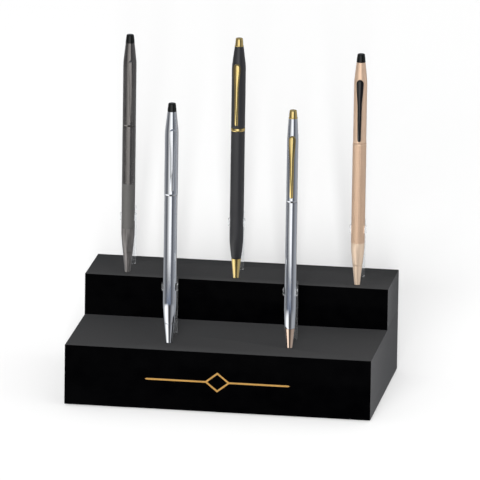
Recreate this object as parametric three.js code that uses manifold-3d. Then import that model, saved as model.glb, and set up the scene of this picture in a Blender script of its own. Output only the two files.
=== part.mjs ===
// A two-step pen display stand with five slim twist ballpoint pens standing on it.
// Millimetres, +Z up, front towards -Y. The origin is on the table, under the middle of the stand.
import * as THREE from "three";
import { mergeVertices } from "three/addons/utils/BufferGeometryUtils.js";
import Module from "manifold-3d";

// Stand: the two steps are hollow shells, the lower one closed from below by a plate on four feet.
const standWidth = 167;
const lowerTreadDepth = 64;
const upperTreadDepth = 43;
const lowerTreadHeight = 34;
const stepHeight = 23;
const wallThickness = 3;
const treadThickness = 3.5;
const plateThickness = 3;
const plateClearance = 0.3;
const footRadius = 5.5;
const footThickness = 2.6;
const footProud = 0.8;
const footInset = 22;
const footClearance = 0.2;
const footChamfer = 0.5;
const cornerPost = 9;
const postBite = 1;
const stepPostRadius = 4.5;
const stepScrewOffset = 45;

// Screws of the stand: countersunk ones hold the plate, pan heads hold the upper step.
const screwRadius = 1.45;
const screwClearance = 0.15;
const plateScrewLength = 11;
const countersunkRadius = 2.8;
const countersunkDepth = 1.6;
const stepScrewLength = 12;
const panHeadRadius = 2.8;
const panHeadHeight = 2;
const panHeadBevel = 0.7;
const pilotExtra = 1;

// Gold inlay on the front face: a lozenge outline between two thin rules.
const inlayLength = 79;
const inlayHeight = 11;
const lozengeLength = 14;
const inlayLine = 0.9;
const inlayThickness = 0.45;
const inlayClearance = 0.15;

// Clear holders: a post behind each pen, an arm forward, and an open collar round the barrel.
const postDistance = 18;
const postWidth = 3;
const postDepth = 3;
const tenonWidth = 2.2;
const tenonClearance = 0.2;
const collarTop = 33;
const collarHeight = 4;
const collarWall = 0.6;
const collarClearance = 0.2;
const collarMouth = 140;
const armHeight = 3.6;
const armRounding = 1.8;
const collarSteps = 12;
const lipSteps = 3;

// Seat of a pen's nose in the tread.
const seatDepth = 0.5;
const seatClearance = 0.3;
const seatHoleRadius = 1.25;

// Pen: lengths run along its axis from the end of the nose. Its own radii stand with each pen below.
const tubeWall = 0.7;
const runningGap = 0.15;
const noseEndRadius = 1.6;
const noseJointRadius = 2.68;
const noseLength = 11.2;
const noseSpigot = 3;
const noseSeam = 0.05;
const taperHeight = 23;
const taperFullness = 1.5;
const ringHeight = 1.7;
const ringProud = 0.08;
const ringChamfer = 0.2;
const finialHeight = 4.6;
const finialFlangeRadius = 2.32;
const finialFlangeHeight = 0.5;
const finialFlangeStep = 0.2;
const finialTopRadius = 1.86;
const finialRounding = 0.5;
const crownSteps = 2;
const finialStudRadius = 1;
const finialStudLength = 4;
const capTopRadius = 2.4;
const capTaper = 11.5;
const capFullness = 1.1;
const taperSteps = 3;
const refillRadius = 1.6;
const refillNeckRadius = 1;
const refillPointRadius = 0.35;
const refillPointLength = 4;
const refillTravel = 3;
const refillRecess = 0.4;
const refillAboveJoint = 24;
const mechanismInBarrel = 8;
const mechanismRoof = 3;
const penSides = 16;
const innerSides = 12;

// Pocket clip: a formed strip with a round head, a waist and a round tip, fixed by a tenon in the cap.
const clipLength = 34.7;
const clipBelowTop = 13.7;
const clipHeadWidth = 4.2;
const clipWaistWidth = 2.6;
const clipTipWidth = 2.1;
const clipWaistShare = 0.47;
const clipShoulder = 3;
const clipThickness = 0.75;
const clipGap = 0.12;
const clipBow = 0.6;
const clipBowFullness = 0.7;
const clipEndThickness = 0.45;
const clipSteps = 8;
const clipTenonWidth = 1.5;
const clipTenonHeight = 1.3;
const clipTenonBelowTop = 1.4;
const clipTenonClearance = 0.15;

// How far a cutting shape runs past the face that it cuts, so that no skin is left.
const overcut = 1;

const standDepth = lowerTreadDepth + upperTreadDepth;
const upperTreadHeight = lowerTreadHeight + stepHeight;
const frontY = -standDepth / 2;
const stepY = frontY + lowerTreadDepth;
const backY = standDepth / 2;

const finishes = {
  blackShell: { color: 0x0c0c0d, roughness: 0.42, metalness: 0 },
  blackPlate: { color: 0x1a1a1b, roughness: 0.6, metalness: 0 },
  rubber: { color: 0x202020, roughness: 0.9, metalness: 0 },
  steel: { color: 0xb4b6b8, roughness: 0.35, metalness: 1 },
  clear: { color: 0xe9eef2, roughness: 0.08, metalness: 0, transparent: true, opacity: 0.35 },
  brass: { color: 0xb89a55, roughness: 0.4, metalness: 1 },
  graphite: { color: 0x736c6b, roughness: 0.34, metalness: 0.9 },
  chrome: { color: 0xd6d9de, roughness: 0.07, metalness: 1 },
  gold: { color: 0xd9a441, roughness: 0.16, metalness: 1 },
  satinBlack: { color: 0x35373b, roughness: 0.5, metalness: 0.2 },
  glossBlack: { color: 0x101112, roughness: 0.15, metalness: 0.1 },
  roseGold: { color: 0xd8b193, roughness: 0.32, metalness: 0.9 },
};

// One entry for each pen: its distance from the stand's centre line, how far its axis stands behind the
// front edge of its tread, how its clip is turned about the axis, and its two half lengths and radii.
const pens = [
  {
    name: "graphite_pen",
    x: -61.5,
    behindEdge: 9.3,
    upper: true,
    turn: 22,
    lowerHalf: 82.7,
    upperHalf: 50.8,
    barrelRadius: 3.65,
    capRadius: 3.62,
    body: "graphite",
    finial: "glossBlack",
    clip: "graphite",
    nose: "graphite",
  },
  {
    name: "chrome_pen",
    x: -29.1,
    behindEdge: 16.5,
    upper: false,
    turn: 16,
    lowerHalf: 82.8,
    upperHalf: 50.8,
    barrelRadius: 3.53,
    capRadius: 3.65,
    body: "chrome",
    finial: "glossBlack",
    clip: "chrome",
    nose: "chrome",
  },
  {
    name: "black_pen",
    x: -1.6,
    behindEdge: 9.1,
    upper: true,
    turn: -6,
    lowerHalf: 83.8,
    upperHalf: 50.8,
    barrelRadius: 3.8,
    capRadius: 3.8,
    ring: "gold",
    body: "satinBlack",
    finial: "gold",
    clip: "gold",
    nose: "gold",
  },
  {
    name: "two_tone_pen",
    x: 36.2,
    behindEdge: 19.5,
    upper: false,
    turn: 3,
    lowerHalf: 81.6,
    upperHalf: 50.8,
    barrelRadius: 3.1,
    capRadius: 3.03,
    body: "chrome",
    finial: "gold",
    clip: "gold",
    nose: "gold",
  },
  {
    name: "rose_gold_pen",
    x: 65.3,
    behindEdge: 8,
    upper: true,
    turn: 3,
    lowerHalf: 79.9,
    upperHalf: 49.5,
    barrelRadius: 3.72,
    capRadius: 3.57,
    body: "roseGold",
    finial: "glossBlack",
    clip: "glossBlack",
    nose: "roseGold",
  },
];

const wasm = await Module();
wasm.setup();

const materials = {};
for (const [name, values] of Object.entries(finishes)) {
  materials[name] = new THREE.MeshStandardMaterial(values);
}

// A closed geometry as a solid that can be joined and cut.
function solidOf(geometry) {
  const bare = geometry.index ? geometry.toNonIndexed() : geometry.clone();
  bare.deleteAttribute("normal");
  bare.deleteAttribute("uv");
  const merged = mergeVertices(bare, 1e-4);
  return new wasm.Manifold(
    new wasm.Mesh({
      numProp: 3,
      vertProperties: merged.attributes.position.array,
      triVerts: new Uint32Array(merged.index.array),
    }),
  );
}

function geometryOf(solid) {
  const mesh = solid.getMesh();
  const geometry = new THREE.BufferGeometry();
  geometry.setAttribute("position", new THREE.BufferAttribute(mesh.vertProperties, 3));
  geometry.setIndex(new THREE.BufferAttribute(mesh.triVerts, 1));
  geometry.computeVertexNormals();
  return geometry;
}

function meshOf(name, geometry, finish) {
  const mesh = new THREE.Mesh(geometry, materials[finish]);
  mesh.name = name;
  return mesh;
}

// A box between two opposite corners.
function block([x0, y0, z0], [x1, y1, z1]) {
  const box = new THREE.BoxGeometry(x1 - x0, y1 - y0, z1 - z0);
  return solidOf(box.translate((x0 + x1) / 2, (y0 + y1) / 2, (z0 + z1) / 2));
}

// A shape turned about +Z. Its profile runs anticlockwise as points of radius and height.
function turned(profile, sides = penSides) {
  const points = profile.map(([radius, height]) => new THREE.Vector2(radius, height));
  return new THREE.LatheGeometry(points, sides).rotateX(Math.PI / 2);
}

function rod(x, y, bottom, top, radius, sides = innerSides) {
  const profile = [
    [0, bottom],
    [radius, bottom],
    [radius, top],
    [0, top],
  ];
  return solidOf(turned(profile, sides).translate(x, y, 0));
}

// An outline of X and Z values, swept along Y from the front value to the back one.
function sweptBack(outline, front, back, curveSegments = 6) {
  const depth = back - front;
  const geometry = new THREE.ExtrudeGeometry(outline, { depth, bevelEnabled: false, curveSegments });
  return solidOf(geometry.rotateX(Math.PI / 2).translate(0, back, 0));
}

// An outline of Y and Z values, swept across X over a width that is centred on the pen.
function sweptAcross(outline, width, curveSegments = 4) {
  const geometry = new THREE.ExtrudeGeometry(outline, {
    depth: width,
    bevelEnabled: false,
    curveSegments,
  });
  const axes = new THREE.Matrix4().makeBasis(
    new THREE.Vector3(0, 1, 0),
    new THREE.Vector3(0, 0, 1),
    new THREE.Vector3(1, 0, 0),
  );
  return solidOf(geometry.applyMatrix4(axes).translate(-width / 2, 0, 0));
}

const treadOf = (pen) => (pen.upper ? upperTreadHeight : lowerTreadHeight);
const yOf = (pen) => (pen.upper ? stepY : frontY) + pen.behindEdge;

// The inlay's outline, grown by a clearance when it is used to cut the pocket.
function inlayOutline(grow) {
  const tip = inlayLength / 2 + grow;
  const line = inlayLine / 2 + grow;
  const wide = lozengeLength / 2 + grow;
  const tall = inlayHeight / 2 + grow;
  const meet = wide * (1 - line / tall);
  const outline = new THREE.Shape();
  outline.moveTo(-tip, 0);
  outline.lineTo(-tip + inlayLine, -line);
  outline.lineTo(-meet, -line);
  outline.lineTo(0, -tall);
  outline.lineTo(meet, -line);
  outline.lineTo(tip - inlayLine, -line);
  outline.lineTo(tip, 0);
  outline.lineTo(tip - inlayLine, line);
  outline.lineTo(meet, line);
  outline.lineTo(0, tall);
  outline.lineTo(-meet, line);
  outline.lineTo(-tip + inlayLine, line);
  outline.closePath();
  const slope = Math.hypot(lozengeLength, inlayHeight) / (lozengeLength * inlayHeight);
  const shrink = 1 - 2 * (inlayLine + grow) * slope;
  const window = new THREE.Path();
  window.moveTo((-lozengeLength / 2) * shrink, 0);
  window.lineTo(0, (inlayHeight / 2) * shrink);
  window.lineTo((lozengeLength / 2) * shrink, 0);
  window.lineTo(0, (-inlayHeight / 2) * shrink);
  window.closePath();
  outline.holes.push(window);
  return outline;
}

const inlayHeightOnFace = (lowerTreadHeight + footProud) / 2;

function inlay() {
  const solid = sweptBack(inlayOutline(0), frontY, frontY + inlayThickness);
  return meshOf("front_inlay", geometryOf(solid.translate(0, 0, inlayHeightOnFace)), "gold");
}

// What each pen cuts out of its tread: a shallow seat, a hole for the refill's point, and a mortise.
function cutForPen(solid, pen) {
  const tread = treadOf(pen);
  const y = yOf(pen);
  const below = tread - treadThickness - overcut;
  const above = tread + overcut;
  const half = tenonWidth / 2 + tenonClearance;
  const postY = y + postDistance;
  return solid
    .subtract(rod(pen.x, y, tread - seatDepth, above, noseEndRadius + seatClearance))
    .subtract(rod(pen.x, y, below, above, seatHoleRadius))
    .subtract(block([pen.x - half, postY - half, below], [pen.x + half, postY + half, above]));
}

const cornerX = standWidth / 2 - wallThickness - cornerPost / 2;
const cornerY = standDepth / 2 - wallThickness - cornerPost / 2;
const corners = [
  { name: "front_left", x: -1, y: -1 },
  { name: "front_right", x: 1, y: -1 },
  { name: "back_left", x: -1, y: 1 },
  { name: "back_right", x: 1, y: 1 },
];
const plateTop = footProud + plateThickness;
const stepScrewY = stepY + upperTreadDepth / 2;
const stepScrewSides = [
  { name: "left", side: -1 },
  { name: "right", side: 1 },
];

function lowerStep() {
  const side = standWidth / 2;
  const ceiling = lowerTreadHeight - treadThickness;
  let shell = block([-side, frontY, footProud], [side, backY, lowerTreadHeight]).subtract(
    block(
      [-side + wallThickness, frontY + wallThickness, footProud - overcut],
      [side - wallThickness, backY - wallThickness, ceiling],
    ),
  );
  const half = cornerPost / 2;
  for (const { x, y } of corners) {
    const [cx, cy] = [x * (cornerX + postBite), y * (cornerY + postBite)];
    const post = block([cx - half, cy - half, plateTop], [cx + half, cy + half, ceiling + postBite]);
    shell = shell.add(post);
  }
  for (const { x, y } of corners) {
    const holeTop = footProud + plateScrewLength + pilotExtra;
    shell = shell.subtract(
      rod(x * cornerX, y * cornerY, plateTop - overcut, holeTop, screwRadius + screwClearance),
    );
  }
  for (const { side: s } of stepScrewSides) {
    const hole = screwRadius + screwClearance;
    shell = shell.subtract(
      rod(s * stepScrewOffset, stepScrewY, ceiling - overcut, lowerTreadHeight + overcut, hole),
    );
  }
  const pocketBack = frontY + inlayThickness + inlayClearance;
  const pocket = sweptBack(inlayOutline(inlayClearance), frontY - overcut, pocketBack);
  shell = shell.subtract(pocket.translate(0, 0, inlayHeightOnFace));
  for (const pen of pens.filter((p) => !p.upper)) shell = cutForPen(shell, pen);
  return meshOf("lower_step", geometryOf(shell), "blackShell");
}

function upperStep() {
  const side = standWidth / 2;
  const ceiling = upperTreadHeight - treadThickness;
  let shell = block([-side, stepY, lowerTreadHeight], [side, backY, upperTreadHeight]).subtract(
    block(
      [-side + wallThickness, stepY + wallThickness, lowerTreadHeight - overcut],
      [side - wallThickness, backY - wallThickness, ceiling],
    ),
  );
  for (const { side: s } of stepScrewSides) {
    const x = s * stepScrewOffset;
    const holeTop = lowerTreadHeight - treadThickness + stepScrewLength + pilotExtra;
    const holeBottom = lowerTreadHeight - overcut;
    shell = shell
      .add(rod(x, stepScrewY, lowerTreadHeight, ceiling + postBite, stepPostRadius))
      .subtract(rod(x, stepScrewY, holeBottom, holeTop, screwRadius + screwClearance));
  }
  for (const pen of pens.filter((p) => p.upper)) shell = cutForPen(shell, pen);
  return meshOf("upper_step", geometryOf(shell), "blackShell");
}

const footX = standWidth / 2 - footInset;
const footY = standDepth / 2 - footInset;

// A countersunk head with its flat face down. The tool that cuts its hole is wider by a clearance and
// has a straight mouth that runs past the plate's face.
function countersunkScrew(x, y, grow, length) {
  const head = countersunkRadius + grow;
  const shank = screwRadius + grow;
  const mouth = grow > 0 ? [[head, footProud - overcut]] : [];
  const bottom = grow > 0 ? footProud - overcut : footProud;
  const profile = [
    [0, bottom],
    ...mouth,
    [head, footProud],
    [shank, footProud + countersunkDepth],
    [shank, footProud + length],
    [0, footProud + length],
  ];
  return solidOf(turned(profile, innerSides).translate(x, y, 0));
}

function basePlate() {
  const halfX = standWidth / 2 - wallThickness - plateClearance;
  const halfY = standDepth / 2 - wallThickness - plateClearance;
  let plate = block([-halfX, -halfY, footProud], [halfX, halfY, plateTop]);
  for (const { x, y } of corners) {
    plate = plate
      .subtract(rod(x * footX, y * footY, 0, footThickness, footRadius + footClearance, penSides))
      .subtract(countersunkScrew(x * cornerX, y * cornerY, screwClearance, plateThickness + overcut));
  }
  return meshOf("base_plate", geometryOf(plate), "blackPlate");
}

function feet() {
  return corners.map(({ name, x, y }) => {
    const profile = [
      [0, 0],
      [footRadius - footChamfer, 0],
      [footRadius, footChamfer],
      [footRadius, footThickness],
      [0, footThickness],
    ];
    const foot = meshOf(`${name}_foot`, turned(profile), "rubber");
    foot.position.set(x * footX, y * footY, 0);
    return foot;
  });
}

function standScrews() {
  const plateScrews = corners.map(({ name, x, y }) =>
    meshOf(
      `${name}_plate_screw`,
      geometryOf(countersunkScrew(x * cornerX, y * cornerY, 0, plateScrewLength)),
      "steel",
    ),
  );
  const headTop = lowerTreadHeight - treadThickness;
  const profile = [
    [0, -panHeadHeight],
    [panHeadRadius - panHeadBevel, -panHeadHeight],
    [panHeadRadius, panHeadBevel - panHeadHeight],
    [panHeadRadius, 0],
    [screwRadius, 0],
    [screwRadius, stepScrewLength],
    [0, stepScrewLength],
  ];
  const stepScrews = stepScrewSides.map(({ name, side }) => {
    const screw = meshOf(`${name}_step_screw`, turned(profile, innerSides), "steel");
    screw.position.set(side * stepScrewOffset, stepScrewY, headTop);
    return screw;
  });
  return [...plateScrews, ...stepScrews];
}

// Points along an arc, its two ends included.
function arcPoints(x, y, radius, start, end, steps) {
  const points = [];
  for (let i = 0; i <= steps; i++) {
    const angle = start + ((end - start) * i) / steps;
    points.push(new THREE.Vector2(x + radius * Math.cos(angle), y + radius * Math.sin(angle)));
  }
  return points;
}

// The collar seen from above, open at the front by the mouth's angle.
function collarOutline(pen) {
  const inner = pen.barrelRadius + collarClearance;
  const outer = inner + collarWall;
  const middle = (inner + outer) / 2;
  const start = THREE.MathUtils.degToRad(-90 + collarMouth / 2);
  const end = THREE.MathUtils.degToRad(270 - collarMouth / 2);
  const lip = (angle, turn) => {
    const [x, y] = [middle * Math.cos(angle), middle * Math.sin(angle)];
    return arcPoints(x, y, collarWall / 2, turn, turn + Math.PI, lipSteps).slice(1, -1);
  };
  return new THREE.Shape([
    ...arcPoints(0, 0, outer, start, end, collarSteps),
    ...lip(end, end),
    ...arcPoints(0, 0, inner, end, start, collarSteps),
    ...lip(start, start + Math.PI),
  ]);
}

// The post and arm seen from the side.
function postOutline(pen) {
  const front = postDistance - postDepth / 2;
  const back = postDistance + postDepth / 2;
  const armFront = pen.barrelRadius + collarClearance + collarWall / 2;
  const armBottom = collarTop - armHeight;
  const outline = new THREE.Shape();
  outline.moveTo(front, 0);
  outline.lineTo(back, 0);
  outline.lineTo(back, collarTop - armRounding);
  outline.absarc(back - armRounding, collarTop - armRounding, armRounding, 0, Math.PI / 2, false);
  outline.lineTo(armFront, collarTop);
  outline.lineTo(armFront, armBottom);
  outline.lineTo(front - armRounding, armBottom);
  outline.absarc(front - armRounding, armBottom - armRounding, armRounding, Math.PI / 2, 0, true);
  outline.closePath();
  return outline;
}

function holder(pen) {
  const collar = new THREE.ExtrudeGeometry(collarOutline(pen), {
    depth: collarHeight,
    bevelEnabled: false,
  }).translate(0, 0, collarTop - collarHeight);
  const half = tenonWidth / 2;
  const tenon = block(
    [-half, postDistance - half, -treadThickness],
    [half, postDistance + half, postBite],
  );
  const solid = sweptAcross(postOutline(pen), postWidth).add(solidOf(collar)).add(tenon);
  const mesh = meshOf(`${pen.name}_holder`, geometryOf(solid), "clear");
  mesh.position.set(pen.x, yOf(pen), treadOf(pen));
  return mesh;
}

// Points of a gently rounded taper between two ends of radius and height.
function taperPoints(from, to, fullness) {
  const points = [];
  for (let i = 0; i <= taperSteps; i++) {
    const share = i / taperSteps;
    const swell = 1 - (1 - share) ** fullness;
    points.push([from[0] + (to[0] - from[0]) * swell, from[1] + (to[1] - from[1]) * share]);
  }
  return points;
}

function noseCone() {
  const pointHole = refillNeckRadius + runningGap / 2;
  const bore = refillNeckRadius + 2 * runningGap;
  const spigotRadius = noseJointRadius - tubeWall;
  const spigotTop = noseLength + noseSpigot;
  return turned([
    [pointHole, 0],
    [noseEndRadius, 0],
    [noseJointRadius, noseLength],
    [spigotRadius, noseLength],
    [spigotRadius, spigotTop],
    [bore, spigotTop],
    [bore, refillPointLength / 2],
    [pointHole, refillPointLength / 4],
    [pointHole, 0],
  ]);
}

function barrel(pen, top) {
  const { barrelRadius } = pen;
  const spigotBore = noseJointRadius - tubeWall + runningGap;
  const spigotTop = noseLength + noseSpigot + runningGap;
  const bottom = noseLength + noseSeam;
  return turned([
    [spigotBore, bottom],
    ...taperPoints([noseJointRadius, bottom], [barrelRadius, taperHeight], taperFullness),
    [barrelRadius, top],
    [barrelRadius - tubeWall, top],
    [barrelRadius - tubeWall, taperHeight],
    [spigotBore, spigotTop],
    [spigotBore, bottom],
  ]);
}

function refill(top) {
  const shoulder = noseLength + noseSpigot + refillTravel + runningGap;
  const neckEnd = refillRecess + refillPointLength;
  return turned(
    [
      [0, refillRecess],
      [refillPointRadius, refillRecess],
      [refillNeckRadius, neckEnd],
      [refillNeckRadius, shoulder],
      [refillRadius, shoulder + refillRadius - refillNeckRadius],
      [refillRadius, top],
      [0, top],
    ],
    innerSides,
  );
}

function twistMechanism(pen, capBottom, refillTop) {
  const joint = pen.lowerHalf;
  const bore = refillRadius + runningGap;
  const inBarrel = pen.barrelRadius - tubeWall - runningGap;
  const inCap = pen.capRadius - tubeWall - runningGap;
  const roof = refillTop + runningGap;
  const step = capBottom + runningGap;
  return turned([
    [0, roof],
    [bore, roof],
    [bore, joint - mechanismInBarrel],
    [inBarrel, joint - mechanismInBarrel],
    [inBarrel, step],
    [inCap, step],
    [inCap, roof + mechanismRoof],
    [0, roof + mechanismRoof],
  ]);
}

function finial() {
  const crownRadius = finialTopRadius - finialRounding;
  const crownHeight = finialHeight - finialRounding;
  const crown = arcPoints(crownRadius, crownHeight, finialRounding, 0, Math.PI / 2, crownSteps);
  return turned([
    [0, -finialStudLength],
    [finialStudRadius, -finialStudLength],
    [finialStudRadius, 0],
    [finialFlangeRadius, 0],
    [finialFlangeRadius, finialFlangeHeight],
    [finialFlangeRadius - finialFlangeStep, finialFlangeHeight + finialFlangeStep],
    ...crown.map((point) => [point.x, point.y]),
    [0, finialHeight],
  ]);
}

// The clip's tenon as a block behind its head, grown by a clearance when it cuts the cap.
function clipTenon(capRadius, clipTop, grow) {
  const half = clipTenonWidth / 2 + grow;
  const top = clipTop - clipTenonBelowTop + grow;
  const bottom = clipTop - clipTenonBelowTop - clipTenonHeight - grow;
  const inner = capRadius - tubeWall - runningGap - grow;
  return block([-half, -capRadius - clipGap - clipThickness / 2, bottom], [half, -inner, top]);
}

function cap(capRadius, bottom, top, clipTop) {
  const bore = capRadius - tubeWall;
  const studBore = finialStudRadius + runningGap;
  const boreTop = top - capTaper;
  const studFloor = top - finialStudLength - runningGap;
  const profile = [
    [bore, bottom],
    [capRadius, bottom],
    ...taperPoints([capTopRadius, top], [capRadius, boreTop], capFullness).reverse(),
    [studBore, top],
    [studBore, studFloor],
    [bore, boreTop],
    [bore, bottom],
  ];
  const mortise = clipTenon(capRadius, clipTop, clipTenonClearance);
  return geometryOf(solidOf(turned(profile)).subtract(mortise));
}

function clipFace() {
  const head = clipHeadWidth / 2;
  const waist = clipWaistWidth / 2;
  const tip = clipTipWidth / 2;
  const waistZ = -clipLength * clipWaistShare;
  const outline = new THREE.Shape();
  outline.absarc(0, -head, head, 0, Math.PI, false);
  outline.bezierCurveTo(-head, -clipShoulder * head, -waist, waistZ / 2 - head, -waist, waistZ);
  outline.lineTo(-tip, -clipLength + tip);
  outline.absarc(0, -clipLength + tip, tip, Math.PI, 2 * Math.PI, false);
  outline.lineTo(waist, waistZ);
  outline.bezierCurveTo(waist, waistZ / 2 - head, head, -clipShoulder * head, head, -head);
  return outline;
}

// The clip seen from the side: it starts close to the cap, bows out and comes back at its tip.
function clipSide(capRadius) {
  const inner = [];
  const outer = [];
  for (let i = 0; i <= clipSteps; i++) {
    const share = i / clipSteps;
    const bow = clipBow * Math.sin(Math.PI * share) ** clipBowFullness;
    const gap = capRadius + clipGap + bow;
    const atEnd = i === 0 || i === clipSteps;
    const thickness = atEnd ? clipEndThickness : clipThickness;
    inner.push(new THREE.Vector2(-gap, -clipLength * share));
    outer.push(new THREE.Vector2(-gap - thickness, -clipLength * share));
  }
  return new THREE.Shape([...inner, ...outer.reverse()]);
}

function clip(capRadius, clipTop) {
  const reach = capRadius + clipGap + clipBow + 2 * clipThickness;
  const solid = sweptAcross(clipSide(capRadius), clipHeadWidth + overcut)
    .intersect(sweptBack(clipFace(), -reach, 0))
    .translate(0, 0, clipTop)
    .add(clipTenon(capRadius, clipTop, 0));
  return geometryOf(solid);
}

function centreRing(pen) {
  const bore = pen.barrelRadius - tubeWall;
  const radius = pen.capRadius + ringProud;
  const bottom = pen.lowerHalf - ringHeight / 2;
  return turned([
    [bore, bottom],
    [radius - ringChamfer, bottom],
    [radius, bottom + ringChamfer],
    [radius, bottom + ringHeight - ringChamfer],
    [radius - ringChamfer, bottom + ringHeight],
    [bore, bottom + ringHeight],
    [bore, bottom],
  ]);
}

function penOf(pen) {
  const joint = pen.lowerHalf;
  const top = pen.lowerHalf + pen.upperHalf;
  const halfRing = pen.ring ? ringHeight / 2 : 0;
  const barrelTop = joint - halfRing - runningGap / 2;
  const capBottom = joint + halfRing + runningGap / 2;
  const capTop = top - finialHeight;
  const clipTop = top - clipBelowTop;
  const refillTop = joint + refillAboveJoint;
  const button = meshOf(`${pen.name}_finial`, finial(), pen.finial);
  button.position.z = capTop;
  const group = new THREE.Group();
  group.add(
    meshOf(`${pen.name}_nose_cone`, noseCone(), pen.nose),
    meshOf(`${pen.name}_barrel`, barrel(pen, barrelTop), pen.body),
    meshOf(`${pen.name}_refill`, refill(refillTop), "steel"),
    meshOf(`${pen.name}_twist_mechanism`, twistMechanism(pen, capBottom, refillTop), "brass"),
    meshOf(`${pen.name}_cap`, cap(pen.capRadius, capBottom, capTop, clipTop), pen.body),
    meshOf(`${pen.name}_clip`, clip(pen.capRadius, clipTop), pen.clip),
    button,
  );
  if (pen.ring) group.add(meshOf(`${pen.name}_centre_ring`, centreRing(pen), pen.ring));
  group.position.set(pen.x, yOf(pen), treadOf(pen) - seatDepth);
  group.rotation.z = THREE.MathUtils.degToRad(pen.turn);
  return group;
}

const displayStand = new THREE.Group();
displayStand.add(lowerStep(), upperStep(), basePlate(), inlay(), ...feet(), ...standScrews());
for (const pen of pens) displayStand.add(holder(pen), penOf(pen));

export default displayStand;
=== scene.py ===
"""Looks of a two-step pen display stand with five pens, built around its fixed CAD frame."""

import math

import bpy
from mathutils import Matrix, Vector


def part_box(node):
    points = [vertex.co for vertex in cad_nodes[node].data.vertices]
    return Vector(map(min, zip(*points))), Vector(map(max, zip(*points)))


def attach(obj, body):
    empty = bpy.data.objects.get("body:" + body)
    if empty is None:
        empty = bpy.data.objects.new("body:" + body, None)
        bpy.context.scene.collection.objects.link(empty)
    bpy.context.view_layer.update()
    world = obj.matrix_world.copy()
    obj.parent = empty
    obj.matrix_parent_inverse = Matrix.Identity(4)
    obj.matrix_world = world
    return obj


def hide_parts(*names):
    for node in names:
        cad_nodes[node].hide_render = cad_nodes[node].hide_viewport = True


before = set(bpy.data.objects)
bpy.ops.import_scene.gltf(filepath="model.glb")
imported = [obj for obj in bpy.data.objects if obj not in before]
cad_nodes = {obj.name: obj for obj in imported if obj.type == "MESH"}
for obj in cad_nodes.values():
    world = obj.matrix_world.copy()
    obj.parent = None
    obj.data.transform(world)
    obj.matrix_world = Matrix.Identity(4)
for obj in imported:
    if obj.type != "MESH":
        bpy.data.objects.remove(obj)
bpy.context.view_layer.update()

# Rubber feet: four round bumpers moulded in black rubber, pressed into round recesses of the base plate.
# Each stands 0.8 mm out of it on a slightly domed, matt face.


def mm(*lengths):
    """Millimetres as metres, alone or as a point."""
    scaled = [length / 1000 for length in lengths]
    return scaled[0] if len(scaled) == 1 else Vector(scaled)


def middle_of(node):
    """The middle of a CAD node's box, in millimetres."""
    low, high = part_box(node)
    return [500 * (a + b) for a, b in zip(low, high)]


def let_go():
    """Deselect every object, because an operator acts on all that is selected."""
    bpy.ops.object.select_all(action="DESELECT")


def circle(name, sides, radius, centre, fill="NOTHING"):
    """A level circle of points, open or filled, in millimetres."""
    let_go()
    bpy.ops.mesh.primitive_circle_add(
        vertices=sides, radius=mm(radius), fill_type=fill, location=mm(*centre)
    )
    piece = bpy.context.object
    piece.name = name
    return piece


def extrude(move):
    """Draw what is selected out by a move, with new sides behind it."""
    bpy.ops.mesh.extrude_region_move(TRANSFORM_OT_translate={"value": move})


def turn_on_lathe(name, x, y, profile, sides=64):
    """Turn a profile of (radius, height) points, in millimetres, about the upright axis at x, y.

    A profile that comes back to its first point makes a hollow body, and any other makes a solid one.
    """
    radius, height = profile[0]
    fill = "NOTHING" if profile[0] == profile[-1] else "NGON"
    piece = circle(name, sides, radius, (x, y, height), fill)
    bpy.ops.object.mode_set(mode="EDIT")
    bpy.ops.mesh.select_all(action="SELECT")
    for next_radius, next_height in profile[1:]:
        extrude(mm(0, 0, next_height - height))
        growth = next_radius / radius
        centre = mm(x, y, next_height)
        bpy.ops.transform.resize(value=(growth, growth, 1), center_override=centre)
        radius, height = next_radius, next_height
    bpy.ops.mesh.select_all(action="SELECT")
    bpy.ops.mesh.remove_doubles(threshold=mm(0.002))
    bpy.ops.mesh.normals_make_consistent(inside=False)
    bpy.ops.object.mode_set(mode="OBJECT")
    return piece


def settle(piece, *finishes, crease=30):
    """Put the piece's place into its mesh, shade it smooth up to the crease angle and finish it."""
    let_go()
    piece.select_set(True)
    bpy.context.view_layer.objects.active = piece
    bpy.ops.object.transform_apply(location=True, rotation=True, scale=True)
    bpy.ops.object.shade_smooth_by_angle(angle=math.radians(crease))
    for finish in finishes:
        piece.data.materials.append(finish)
    return piece


def mixed_finish(name, colour, metallic=0, ior=1.5, specular=0.5):
    """A new finish with its plain values, before speckle, tint and spread add the patterns."""
    finish = bpy.data.materials.new(name)
    finish.use_nodes = True
    shader = finish.node_tree.nodes["Principled BSDF"]
    shader.inputs["Base Color"].default_value = (*colour, 1)
    shader.inputs["Metallic"].default_value = metallic
    shader.inputs["IOR"].default_value = ior
    shader.inputs["Specular IOR Level"].default_value = specular
    return finish


def add_node(tree, kind, inputs):
    """A new node. Each input, named or numbered, is wired to an output or set to a plain value."""
    node = tree.nodes.new(f"ShaderNode{kind}")
    for name, value in inputs.items():
        if isinstance(value, bpy.types.NodeSocket):
            tree.links.new(value, node.inputs[name])
        else:
            node.inputs[name].default_value = value
    return node


def rescale(tree, value, from_span, to_span, way="LINEAR"):
    """A number that goes from one end of to_span to the other as the value runs through from_span."""
    spans = {
        "Value": value,
        "From Min": from_span[0],
        "From Max": from_span[1],
        "To Min": to_span[0],
        "To Max": to_span[1],
    }
    reach = add_node(tree, "MapRange", spans)
    reach.interpolation_type = way
    return reach.outputs["Result"]


def drive(finish, socket, output):
    """Wire an output into one of the shader's sockets."""
    tree = finish.node_tree
    tree.links.new(output, tree.nodes["Principled BSDF"].inputs[socket])


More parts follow.
